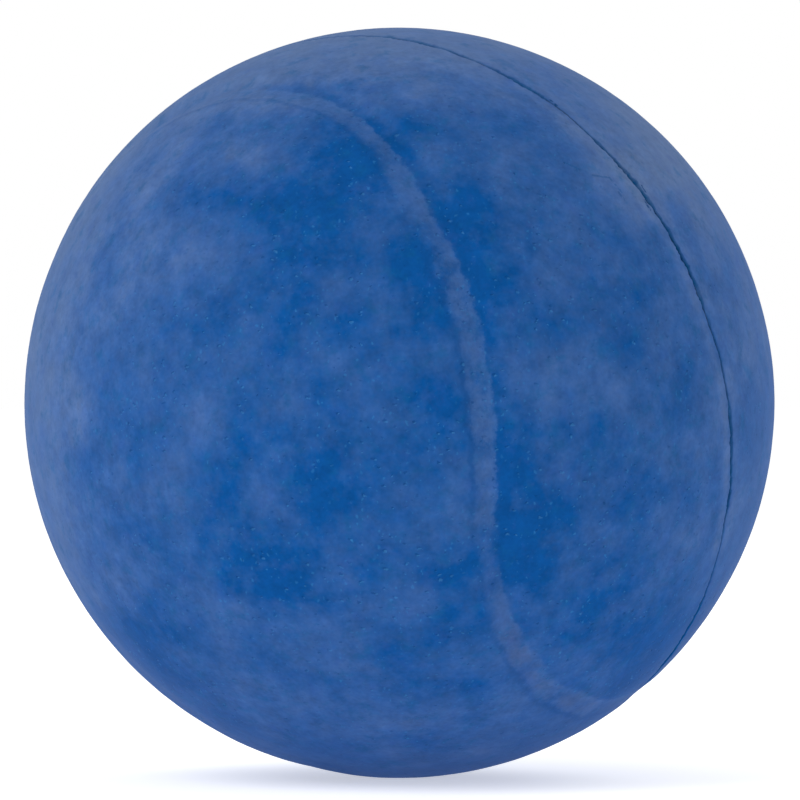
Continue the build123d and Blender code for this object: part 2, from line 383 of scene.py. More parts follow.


# Soft patches on the face, placed after the photograph: right, up, half width, half height,
# all as shares of the outline's radius, and strength. Bare patches are below 0 and bloomed above.
# Three large ones at the outline are painted light and shade.
PATCHES = [
    (-0.16, 0.69, 0.10, 0.08, -1.0),
    (-0.45, 0.55, 0.15, 0.08, -1.1),
    (-0.18, 0.56, 0.11, 0.045, -0.8),
    (-0.46, 0.74, 0.07, 0.03, -0.6),
    (0.05, 0.37, 0.045, 0.09, -1.5),
    (0.07, 0.22, 0.05, 0.06, -0.7),
    (0.16, 0.56, 0.05, 0.08, -0.8),
    (-0.63, 0.23, 0.06, 0.05, -0.6),
    (-0.17, -0.19, 0.08, 0.08, -0.8),
    (-0.33, -0.48, 0.09, 0.045, -1.2),
    (-0.19, -0.52, 0.07, 0.03, -0.9),
    (0.14, -0.45, 0.07, 0.04, -0.9),
    (0.13, -0.57, 0.08, 0.05, -0.7),
    (0.11, -0.70, 0.12, 0.07, -0.6),
    (-0.04, -0.66, 0.08, 0.08, -0.7),
    (-0.48, -0.25, 0.13, 0.05, -0.7),
    (-0.70, -0.34, 0.06, 0.035, -0.4),
    (-0.60, -0.43, 0.05, 0.05, -0.6),
    (-0.68, -0.61, 0.07, 0.06, -0.6),
    (-0.46, -0.70, 0.06, 0.05, -0.6),
    (-0.80, -0.14, 0.05, 0.07, -0.6),
    (0.32, -0.38, 0.06, 0.13, -1.1),
    (0.42, -0.30, 0.08, 0.04, -0.6),
    (0.68, 0.38, 0.09, 0.11, -0.7),
    (0.77, 0.08, 0.05, 0.10, -0.8),
    (0.64, 0.16, 0.06, 0.05, -0.6),
    (0.70, -0.24, 0.14, 0.035, -0.3),
    (0.50, -0.10, 0.10, 0.03, -0.3),
    (0.22, 0.74, 0.10, 0.05, -0.7),
    (0.38, 0.48, 0.07, 0.06, -0.5),
    (-0.13, 0.36, 0.09, 0.11, 0.3),
    (-0.13, 0.09, 0.08, 0.07, 0.5),
    (-0.42, 0.19, 0.07, 0.05, 0.5),
    (0.09, -0.32, 0.15, 0.07, 0.8),
    (0.46, 0.09, 0.16, 0.07, 0.9),
    (-0.19, -0.60, 0.11, 0.05, 0.7),
    (-0.50, -0.53, 0.10, 0.07, 0.6),
    (-0.74, -0.46, 0.07, 0.07, 0.6),
    (-0.42, 0.66, 0.13, 0.04, 0.5),
    (0.55, -0.57, 0.12, 0.10, -0.5),
    (-0.90, 0.10, 0.06, 0.25, 0.5),
    (0.0, 0.93, 0.20, 0.04, 0.9),
    (0.07, 0.73, 0.11, 0.07, -1.5),
    (-0.17, 0.845, 0.14, 0.022, -1.6),
    (-0.08, 0.63, 0.08, 0.05, -0.9),
    (0.27, 0.38, 0.06, 0.12, -1.2),
    (-0.27, 0.50, 0.05, 0.05, -0.9),
    (-0.66, 0.38, 0.10, 0.10, -0.5),
    (-0.28, 0.70, 0.10, 0.07, -0.6),
    (0.02, 0.12, 0.06, 0.14, -0.5),
    (0.12, 0.00, 0.07, 0.06, -0.6),
    (0.36, -0.19, 0.06, 0.05, -1.0),
    (-0.08, -0.46, 0.05, 0.035, -0.7),
    (-0.42, -0.50, 0.05, 0.06, -0.6),
    (0.74, 0.24, 0.06, 0.12, -0.5),
    (-0.27, -0.03, 0.07, 0.13, 1.0),
    (0.40, -0.01, 0.17, 0.04, 0.8),
    (0.12, -0.37, 0.07, 0.035, 0.8),
    (0.04, -0.20, 0.06, 0.06, 0.5),
    (-0.87, -0.12, 0.08, 0.20, 0.5),
    (-0.66, -0.40, 0.07, 0.06, 0.6),
    (-0.50, -0.39, 0.06, 0.04, 0.7),
    (-0.84, 0.42, 0.06, 0.12, 0.7),
    # Painted light on the upper right rim, and painted shade on the lower left and lower right rims.
    (0.68, 0.68, 0.14, 0.14, 1.8),
    (-0.70, -0.69, 0.17, 0.18, -1.7),
    (0.70, -0.71, 0.19, 0.19, -2.0),
    (0.66, 0.46, 0.04, 0.05, 0.6),
    (0.55, 0.40, 0.04, 0.12, 0.5),
]
PATCH_STRENGTH = 0.36
PATCH_FALL = 0.9  # how steeply a patch fades away from its middle
FACE_FADE = (0.3, -0.1)  # from behind the outline to before it, where these patches fade in

# The patches' edges wander by this much, in lumps of this size.
PATCH_STRAY = 1.1
PATCH_LUMPS = 3.0

# Patches like them are drawn for the whole ball, and those behind the outline are kept.
DRAWN_PATCHES = 150
DRAWN_WIDTHS = (0.05, 0.13)
DRAWN_STRENGTHS = [-0.9, -0.7, -0.5, 0.6, 0.8]
DRAWN_BEHIND = 0.05

# Painted shade and sheen: less bloom in the middle of the face, which paints it darker, and more
# towards the outline, which paints the paler sheen there; less so on the back. The bloom's change
# in the middle, its rise towards the outline, and how far out the rise begins.
FACE_SHADE_AND_SHEEN = (-0.15, 0.33, 0.3)
BACK_SHADE_AND_SHEEN = (0.04, 0.14, 0.6)

# Painted sheen near the outline, as more bloom all round, and painted light from above and from
# the left, with painted shade below and on the right; and how steeply it rises.
RIM_SHEEN, RIM_LIGHT_UP, RIM_LIGHT_LEFT = 0.50, 0.50, 0.24
RIM_LIGHT_POWER = 6

# How strong the painted highlights along the joint's lips are, by azimuth in degrees. Below 0 the
# rubber beside the joint is made darker instead.
LIP_HIGHLIGHTS_AND_DARKENING = [
    (0, 0.3),
    (30, 0.5),
    (50, 0.8),
    (60, 0.8),
    (72, 1.5),
    (80, 0.8),
    (100, 0.9),
    (125, 1.0),
    (134, 0.3),
    (140, -1.2),
    (150, -2.2),
    (162, -1.2),
    (175, 0.2),
]
FRONT_HIGHLIGHT, FRONT_HIGHLIGHT_AT = 0.34, -0.85  # the strength, and the height over the joint's line
BACK_HIGHLIGHT, BACK_HIGHLIGHT_AT = 0.2, 0.9
LIP_HIGHLIGHT_WIDTH = 0.6


def lip_highlights_and_darkening(directions):
    """Painted highlights along the joint's lips, more on the front one, and darker rubber beside the
    joint where the table is below 0.
    """
    azimuth = np.degrees(np.arctan2(directions @ JOINT_SIDE, directions @ JOINT_UP)) % 360
    wander = np.interp(azimuth, JOINT_TABLE[:, 0], JOINT_TABLE[:, 1], period=360)
    height = directions @ JOINT_NORMAL * BALL_RADIUS - wander
    amount = np.interp(azimuth, *zip(*LIP_HIGHLIGHTS_AND_DARKENING), period=360)
    front = FRONT_HIGHLIGHT * np.exp(-(((height - FRONT_HIGHLIGHT_AT) / LIP_HIGHLIGHT_WIDTH) ** 2))
    back = BACK_HIGHLIGHT * np.exp(-(((height - BACK_HIGHLIGHT_AT) / LIP_HIGHLIGHT_WIDTH) ** 2))
    return amount * (front + back)


def painted_shade_and_sheen(away, middle, rise, start):
    """Painted shade and sheen as bloom, by distance from the face's middle."""
    return middle + rise * smooth(start, 1, away)


def patches_and_painted_light(directions):
    """How bare or how bloomed the rubber is, from the patches above and others like them elsewhere,
    with painted light and shade added in: a painted sheen and light at the outline, painted shade in
    the face's middle, and painted highlights along the joint's lips.
    """
    places = directions * BALL_RADIUS
    warp = np.c_[tuple(bumps(places, PATCH_LUMPS, seed) for seed in (11, 12, 13))]
    view = unit(places + PATCH_STRAY * warp) @ LIE.T
    facing = smooth(*FACE_FADE, view[:, 1])
    total = np.zeros(len(directions))
    for right, up, wide, tall, strength in PATCHES:
        middle = seen([(right, up)])[0] @ LIE.T
        across, upward = view[:, 0] - middle[0], view[:, 2] - middle[2]
        away = (across / wide) ** 2 + (upward / tall) ** 2
        total += facing * strength * np.exp(-PATCH_FALL * away)
    draw = np.random.default_rng(7)
    for _ in range(DRAWN_PATCHES):
        middle = unit(draw.normal(size=3))
        wide, strength = draw.uniform(*DRAWN_WIDTHS), draw.choice(DRAWN_STRENGTHS)
        if middle[1] < DRAWN_BEHIND:
            continue
        gap = np.linalg.norm(view - middle, axis=1)
        total += strength * np.exp(-PATCH_FALL * (gap / wide) ** 2)

    away = np.hypot(view[:, 0], view[:, 2])
    # Painted shade in the face's middle and painted sheen towards the outline.
    shade_and_sheen = np.where(view[:, 1] < 0, painted_shade_and_sheen(away, *FACE_SHADE_AND_SHEEN), painted_shade_and_sheen(away, *BACK_SHADE_AND_SHEEN))
    # Painted sheen and light at the outline: paler above and on the left, darker below and on the right.
    rim_sheen_and_light = (RIM_SHEEN + RIM_LIGHT_UP * view[:, 2] - RIM_LIGHT_LEFT * view[:, 0]) * away**RIM_LIGHT_POWER
    return PATCH_STRENGTH * total + shade_and_sheen + rim_sheen_and_light + lip_highlights_and_darkening(directions)


def new_object(name, points, faces, marks=None):
    """A mesh object from points in millimetres in the seam's axes, turned to lie as the ball does."""
    mesh = bpy.data.meshes.new(name)
    mesh.from_pydata((points @ LIE.T * MM).tolist(), [], faces)
    for key, values in (marks or {}).items():
        layer = mesh.attributes.new(key, "FLOAT", "POINT")
        layer.data.foreach_set("value", np.asarray(values, np.float32))
    mesh.polygons.foreach_set("use_smooth", [True] * len(mesh.polygons))
    mesh.validate()
    mesh.update()
    made = bpy.data.objects.new(name, mesh)
    bpy.context.scene.collection.objects.link(made)
    return made


def grid_quads(cells):
    """The faces of a square grid, by the numbers of its points."""
    step = cells + 1
    return [
        (i * step + j, (i + 1) * step + j, (i + 1) * step + j + 1, i * step + j + 1)
        for i in range(cells)
        for j in range(cells)
    ]


def disc_grid(cells):
    """A square grid mapped onto the unit disc: each point's radius and azimuth, the faces, and the
    numbers of the rim's points in their order."""
    line = np.linspace(-1, 1, cells + 1)
    a, b = (m.ravel() for m in np.meshgrid(line, line, indexing="ij"))
    wide = np.abs(a) > np.abs(b)
    safe_a, safe_b = np.where(a == 0, 1, a), np.where(b == 0, 1, b)
    radius = np.where(wide, a, b)
    azimuth = np.where(wide, math.pi / 4 * b / safe_a, math.pi / 2 - math.pi / 4 * a / safe_b)
    azimuth = np.where((a == 0) & (b == 0), 0, azimuth)
    x, y = radius * np.cos(azimuth), radius * np.sin(azimuth)
    step = cells + 1
    rim = (
        [i * step for i in range(cells)]
        + [cells * step + j for j in range(cells)]
        + [i * step + cells for i in range(cells, 0, -1)]
        + [j for j in range(cells, 0, -1)]
    )
    return np.hypot(x, y), np.arctan2(y, x), grid_quads(cells), rim


def numbered(points, added):
    """Adds points to a list of arrays of them, and gives the numbers of the ones that are added."""
    start = sum(len(array) for array in points)
    points.append(added)
    return np.arange(start, start + len(added))


def ring_quads(outer, inner):
    """The faces between two closed rings of as many points."""
    return list(zip(outer, inner, np.roll(inner, -1), np.roll(outer, -1)))


def ring_triangles(fine, coarse):
    """The faces between a closed ring and one of fewer points, one for every COARSENING of it."""
    triangles = []
    for k in range(len(coarse)):
        a, b = coarse[k], coarse[(k + 1) % len(coarse)]
        for m in range(COARSENING):
            i, j = (fine[(COARSENING * k + n) % len(fine)] for n in (m, m + 1))
            triangles.append((i, a if m < COARSENING // 2 else b, j))
            if m == COARSENING // 2 - 1:
                triangles.append((j, a, b))
    return triangles


# The dome ends at this height over the joint plane. Rings lead from there to a margin before the
# notch's lip, at these shares of the way.
EDGE_HEIGHT = 1.4
EDGE_SHARES = [0.16, 0.32, 0.47, 0.6, 0.72, 0.82, 0.91, 1.0]
LIP_MARGIN = 0.14

# The lip is rounded by a ring before it and by its own drop, which is at most a share of the depth.
LIP_ROUND, LIP_ROUND_DROP = 0.05, 0.012
LIP_DROP, LIP_DROP_SHARE = 0.06, 0.4

# A ring on the notch's wall: its share of the way from the bead's tip to the lip, and of the depth.
WALL_SHARE, WALL_DEPTH = 0.55, 0.75

# How much painted shade the last rings take, the shade in the joint's notch: before the lip, the
# lip, the wall, the notch's floor and the core.
RING_SHADE = (0.15, 0.6, 1.0, 1.0, 1.0)

INNER_SHARE = 0.985  # how far the inner dome's grid reaches towards the flank's foot

# The mottling is weaker near the outline: by how much, and from which share of its radius.
CALM, CALM_FROM = 0.4, 0.85


def skin_half(name, side):
    """One skin half as a closed solid: outer dome, lip, notch wall, joint flank and inner dome."""

    def facing(face):
        return face if side > 0 else face[::-1]

    reach, azimuth, quads, rim = disc_grid(GRID)
    top = 1 - math.sin(EDGE_HEIGHT / BALL_RADIUS)
    polar = np.arccos(1 - reach**2 * top)
    directions = joint_points(np.ones_like(polar), azimuth, side * np.cos(polar))
    points = []
    rings = [numbered(points, directions * surface_radius(directions)[:, None])[rim]]
    faces = [facing(quad) for quad in quads]

    azimuth = azimuth[rim]
    wander, front, back, depth, notch_shade_share = joint_line(azimuth)
    lip = back if side > 0 else front

    def add_ring(height, drop, wandering=1):
        placed = side * height + wandering * wander
        ring = unit(joint_points(np.full(len(rim), BALL_RADIUS), azimuth, placed))
        rings.append(numbered(points, ring * (surface_radius(ring) - drop)[:, None]))

    for share in EDGE_SHARES:
        add_ring(lip + LIP_MARGIN + (1 - share) * (EDGE_HEIGHT - lip - LIP_MARGIN), 0, share)
    add_ring(lip + LIP_ROUND, LIP_ROUND_DROP)
    add_ring(lip, np.minimum(LIP_DROP, depth * LIP_DROP_SHARE))
    add_ring(lip * WALL_SHARE + BEAD_TIP_WIDTH / 2 * (1 - WALL_SHARE), depth * WALL_DEPTH)
    add_ring(np.full(len(rim), BEAD_TIP_WIDTH / 2), depth)

    # The flank runs down to the core, and the inner dome follows on a coarser grid.
    foot = np.full(len(rim), side * BEAD_ROOT_WIDTH / 2)
    rings.append(numbered(points, joint_points(np.full(len(rim), CORE_RADIUS), azimuth, foot)))
    for outer, inner in zip(rings[:-1], rings[1:]):
        faces += [facing(quad) for quad in ring_quads(outer, inner)]

    reach, azimuth, quads, rim = disc_grid(GRID // COARSENING)
    top = 1 - BEAD_ROOT_WIDTH / 2 / CORE_RADIUS
    polar = np.arccos(1 - (reach * INNER_SHARE) ** 2 * top)
    height = side * CORE_RADIUS * np.cos(polar)
    dome = numbered(points, joint_points(np.full(len(polar), CORE_RADIUS), azimuth, height))
    faces += [tuple(dome[list(facing(quad)[::-1])]) for quad in quads]
    faces += [facing(triangle) for triangle in ring_triangles(rings[-1], dome[rim])]

    points = np.vstack(points)
    directions = unit(points)
    notch_shade = np.zeros(len(points))
    for ring, shade_of_ring in zip(rings[-len(RING_SHADE) :], RING_SHADE):
        notch_shade[ring] = shade_of_ring * notch_shade_share
    stray, middle, half, chalk_and_lit_band, bare_and_shaded, dust, _ = seam_looks(directions)
    view = directions @ LIE.T
    marks = {
        "seam": (seam_side(directions) - stray - middle) / half,
        "chalk_and_lit_band": chalk_and_lit_band,
        "bare_and_shaded": bare_and_shaded,
        "dust": dust,
        "patches_and_light": patches_and_painted_light(directions),
        "notch_shade": notch_shade,
        "mottle": 1 - CALM * smooth(CALM_FROM, 1.0, np.hypot(view[:, 0], view[:, 2])),
    }
    return new_object(name, points, faces, marks)


def joint_bead(name):
    """The bead between the halves: a closed ring from the core out to the notch's floor."""
    _, azimuth, _, rim = disc_grid(GRID)
    azimuth = azimuth[rim]
    count = len(rim)
    wander, _, _, depth, _ = joint_line(azimuth)
    tip = surface_radius(unit(joint_points(np.full(count, BALL_RADIUS), azimuth, wander))) - depth
    core = np.full(count, CORE_RADIUS)
    half_tip, half_root = BEAD_TIP_WIDTH / 2, np.full(count, BEAD_ROOT_WIDTH / 2)
    section = [
        (core, -half_root),
        (tip, wander - half_tip),
        (tip + BEAD_CROWN, wander),
        (tip, wander + half_tip),
        (core, half_root),
        (core, np.zeros(count)),
    ]
    points = np.vstack([joint_points(radius, azimuth, height) for radius, height in section])
    faces = []
    for s in range(len(section)):
        t = (s + 1) % len(section)
        for k in range(count):
            n = (k + 1) % count
            faces.append((s * count + k, s * count + n, t * count + n, t * count + k))
    return new_object(name, points, faces)


# The sponge's open cells: their size and greatest depth, how much of the noise opens one, and how
# far the whole face lies under the core's radius.
CELL_SIZE = 1.1
CELL_DEPTH = 0.22
CELL_SHARE = 0.1
CORE_DIP = 0.03


def foam_core(name):
    """The sponge core: a ball whose face is cut by open cells."""
    line = np.tan(np.linspace(-1, 1, CORE_GRID + 1) * math.pi / 4)
    a, b = (m.ravel() for m in np.meshgrid(line, line, indexing="ij"))
    quads = grid_quads(CORE_GRID)
    sides, faces = [], []
    for axis in range(3):
        for sign in (-1, 1):
            cube_side = np.zeros((a.size, 3))
            cube_side[:, axis] = sign
            cube_side[:, (axis + 1) % 3] = a
            cube_side[:, (axis + 2) % 3] = b
            numbers = numbered(sides, unit(cube_side))
            faces += [tuple(numbers[list(quad if sign > 0 else quad[::-1])]) for quad in quads]
    directions = np.vstack(sides)
    cells = bumps(directions * CORE_RADIUS, CELL_SIZE, seed=8, octaves=2)
    radius = CORE_RADIUS - CORE_DIP - CELL_DEPTH * np.clip(cells + CELL_SHARE, 0, 1)
    return new_object(name, directions * radius[:, None], faces)


front_skin = skin_half("front_skin_moulding", -1)
back_skin = skin_half("back_skin_moulding", 1)
bead = joint_bead("joint_bead_rubber")
core = foam_core("foam_core_sponge")


def new_material(name):
    """An empty material, and its node tree."""
    material = bpy.data.materials.new(name)
    material.use_nodes = True
    tree = material.node_tree
    tree.nodes.clear()
    return material, tree


def add(tree, kind, inputs=None, **settings):
    """A node with its settings and inputs. An input is a value or another node's output."""
    node = tree.nodes.new(kind)
    for key, value in settings.items():
        setattr(node, key, value)
    for key, value in (inputs or {}).items():
        if isinstance(value, bpy.types.NodeSocket):
            tree.links.new(value, node.inputs[key])
        else:
            node.inputs[key].default_value = value
    return node


def maths(tree, operation, a, b=0.0, c=None, clamp=False):
    """The result of one sum. A, b and c are values or outputs of nodes."""
    inputs = {0: a, 1: b}
    if c is not None:
        inputs[2] = c
    return add(tree, "ShaderNodeMath", inputs, operation=operation, use_clamp=clamp).outputs[0]


def vectors(tree, operation, a, b):
    """A node for one sum with vectors. B is a number where a vector is only scaled."""
    inputs = {0: a, "Scale" if operation == "SCALE" else 1: b}
    return add(tree, "ShaderNodeVectorMath", inputs, operation=operation)


def blur_noise(tree, where, scale, detail=3.0, rough=0.55):
    """Soft noise of 0 to 1."""
    inputs = {"Vector": where, "Scale": scale, "Detail": detail, "Roughness": rough}
    return add(tree, "ShaderNodeTexNoise", inputs).outputs["Fac"]


def remap(tree, value, low, high, to_low=0.0, to_high=1.0):
    """A smooth step from one value to another, while the input runs from low to high."""
    inputs = {"Value": value, "From Min": low, "From Max": high, "To Min": to_low, "To Max": to_high}
    return add(tree, "ShaderNodeMapRange", inputs, interpolation_type="SMOOTHSTEP").outputs["Result"]


def mix_colour(tree, share, a, b, kind="MIX"):
    """The colour b laid over the colour a."""
    return add(tree, "ShaderNodeMix", {0: share, 6: a, 7: b}, data_type="RGBA", blend_type=kind).outputs[2]


def rubber(name):
    """A new material, its node tree and shader, and the place on the piece that it shades."""
    material, tree = new_material(name)
    shader = add(tree, "ShaderNodeBsdfPrincipled")
    add(tree, "ShaderNodeOutputMaterial", {"Surface": shader.outputs[0]})
    return material, tree, shader, add(tree, "ShaderNodeTexCoord").outputs["Object"]


# Tears and scuffs beside the joint, as places on the face: start and end, half width in millimetres.
TEARS = [
    ((0.641, 0.588), (0.656, 0.562), 0.13),
    ((0.655, 0.535), (0.668, 0.515), 0.16),
    ((0.752, 0.398), (0.772, 0.350), 0.14),
    ((0.404, 0.806), (0.420, 0.792), 0.16),
]
SCUFFS = [
    ((0.515, 0.606), (0.560, 0.600), 0.14),
    ((0.560, 0.600), (0.592, 0.562), 0.15),
    ((0.585, 0.560), (0.600, 0.540), 0.17),
    ((0.440, 0.640), (0.480, 0.622), 0.13),
]
STREAK_CORE = 0.6  # the share of a mark's width at which it is full


def streak(tree, where, start, end, width):
    """A fine mark between two places on the face: 1 on its line and 0 beyond its width."""
    a, b = (Vector(LIE @ seen([place])[0]) * BALL_RADIUS * MM for place in (start, end))
    span = b - a
    offset = vectors(tree, "SUBTRACT", where, a).outputs[0]
    along = vectors(tree, "DOT_PRODUCT", offset, span / span.length_squared).outputs["Value"]
    foot = vectors(tree, "SCALE", span, maths(tree, "ADD", along, clamp=True)).outputs[0]
    gap = vectors(tree, "DISTANCE", offset, foot).outputs["Value"]
    return remap(tree, gap, width * MM, width * MM * STREAK_CORE)


def streaks(tree, where, marks):
    """Several fine marks as one."""
    total, *others = [streak(tree, where, *mark) for mark in marks]
    for mark in others:
        total = maths(tree, "MAXIMUM", total, mark)
    return total


# Each noise has its scale, its detail and its roughness, and the last value of some is its weight.
BLOOM_BASE = 0.40
BLOOM_CLOUDS = (70.0, 2.0, 0.5, 0.9)
BLOOM_MOTTLES = [(200.0, 4.0, 0.58, 1.7), (1000.0, 3.0, 0.55, 0.36)]  # these calm down near the outline
BLOOM_DUST = (3200.0, 2.0, 0.5, 0.1)
MOST_BLOOM = 2.0
BAND_FRAYS = [(700.0, 4.0, 0.7, 1.5), (150.0, 2.0, 0.5, 1.0)]
CHALK_NOISE = (420.0, 5.0, 0.7)
CLUSTER_NOISE = (260.0, 2.0)
BREAKS_NOISE = (2600.0, 2.0)
HUE_NOISE = (600.0, 4.0, 0.65)
GRAIN_NOISE = (450.0, 3.0, 0.9)
NOTCH_SHADE_NOISE = (1500.0, 3.0)
RELIEF_NOISE = (3500.0, 3.0, 0.6)
GRAIN_WEIGHT = 0.78

# Smooth steps: the input's ends, and what each is turned into where that isn't 0 and 1.
CHALK_STEP = (0.34, 0.64, 0.2, 1.05)
CLUSTER_STEP = (0.38, 0.56, 0.3, 1.0)
BARE_STEP = (0.9, 0.2, 0.35, 1.0)
BREAKS_STEP = (0.36, 0.52)
THICK_CHALK_AND_SHEEN_STEP = (0.7, 1.75)
GREENER_STEP = (0.52, 0.72)
REDDER_STEP = (0.46, 0.28)
NOTCH_SHADE_STEP = (0.3, 0.6, 0.55, 1.0)

# Stripes along the groove: the pale band, chalk and painted light on its near wall, and the strip
# beside it, bare rubber and painted shade on its far wall. Across the band in half widths from its
# middle: where each side begins and where it is full.
PALE_SIDES = ((-1.5, -0.45), (1.6, 0.1))
SHADED_STRIP_SIDES = ((-0.85, -1.25), (-2.9, -1.6))

# Fine lines along it: the middle, and how far from there the line begins and is full.
HIGHLIGHT_LINE = (-0.85, 0.4, 0.1)
PIT_LINE = (-1.0, 0.5, 0.15)
# A painted shade line along the groove's lip on the pale band's side.
LIP_SHADE_LINE = (1.35, 0.45, 0.1)

# The band draws the bloom this far towards its own, chalk and painted light, and the strip beside
# it takes some away, which paints the far wall's shade.
BAND_CHALK_AND_LIGHT, BAND_CHALK_AND_LIGHT_PULL = 0.88, 0.72
SHADED_STRIP_BLOOM = -0.36

# Specks: the shift and the stretch of their cells, their scale, and the greatest radius in a cell.
PITS = ((0.0, 0.0, 0.0), (0.65, 1.0, 1.1), 1700.0, 0.34)
# The pits' lit rims sit off the pits towards the side that faces the light: painted light.
LIT_PIT_RIMS = ((-0.00010, 0.0, 0.00008), (0.65, 1.0, 1.1), 1700.0, 0.27)
GRAINS = ((0.01, 0.02, 0.03), (1.1, 1.0, 0.7), 2000.0, 0.33)
SPECK_CORE = 0.4  # the share of a speck's radius at which it is full
SWIRL_SCALE, SWIRL_DETAIL, SWIRL_REACH = 2600.0, 2.0, 0.00045  # what bends the specks' outlines

# The colours, laid over the bare rubber in this order, each with how strongly it covers.
BARE_RUBBER = (0.0024, 0.069, 0.265, 1)
COVERS = {
    # The chalk's share also carries the painted light and shade added to the bloom.
    "chalk": ((0.056, 0.127, 0.328, 1), 1.0),
    # Greyer blue where the bloom is thickest: chalk, and at the outline the painted sheen.
    "thick_chalk_and_sheen": ((0.090, 0.155, 0.318, 1), 1.0),
    # Paler blue for the groove's pale band: chalk, and painted light on its near wall.
    "chalk_and_lit_band": ((0.060, 0.148, 0.370, 1), 0.3),
    "dust": ((0.064, 0.108, 0.25, 1), 0.6),
    "greener": ((0.004, 0.090, 0.255, 1), 0.4),
    "redder": ((0.03, 0.080, 0.32, 1), 0.2),
    "highlight": ((0.06, 0.16, 0.42, 1), 0.22),
    # Darker blue for the painted shade line along the groove's lip.
    "lip": ((0.004, 0.06, 0.23, 1), 0.4),
    # Dark blue for the pits: painted shade in them.
    "shaded_pits": ((0.001, 0.04, 0.17, 1), 0.55),
    # Paler blue beside each pit: painted light on its lit rim.
    "lit_pit_rims": ((0.05, 0.22, 0.50, 1), 0.4),
    "grains": ((0.03, 0.19, 0.46, 1), 0.36),
    "scuffs": ((0.004, 0.07, 0.22, 1), 0.4),
    "tears": ((0.002, 0.045, 0.16, 1), 0.85),
}
# Dark blues for the painted shade in the joint's notch.
NOTCH_SHADE_COLOURS = ((0.003, 0.05, 0.2, 1), (0.003, 0.09, 0.2, 1))

# The skin's shine and its fine relief: how much each part of it stands out or is sunk.
SKIN_ROUGHNESS = (0.5, 0.72)  # bare, and bloomed
SKIN_SPECULAR = 0.02
SKIN_SHEEN, SKIN_SHEEN_ROUGHNESS = 0.012, 0.3
RELIEF, PIT_RELIEF, PIT_RIM_RELIEF, SCUFF_RELIEF = 0.25, -0.8, 0.25, -0.4
RELIEF_DISTANCE, RELIEF_STRENGTH = 0.00004, 0.8


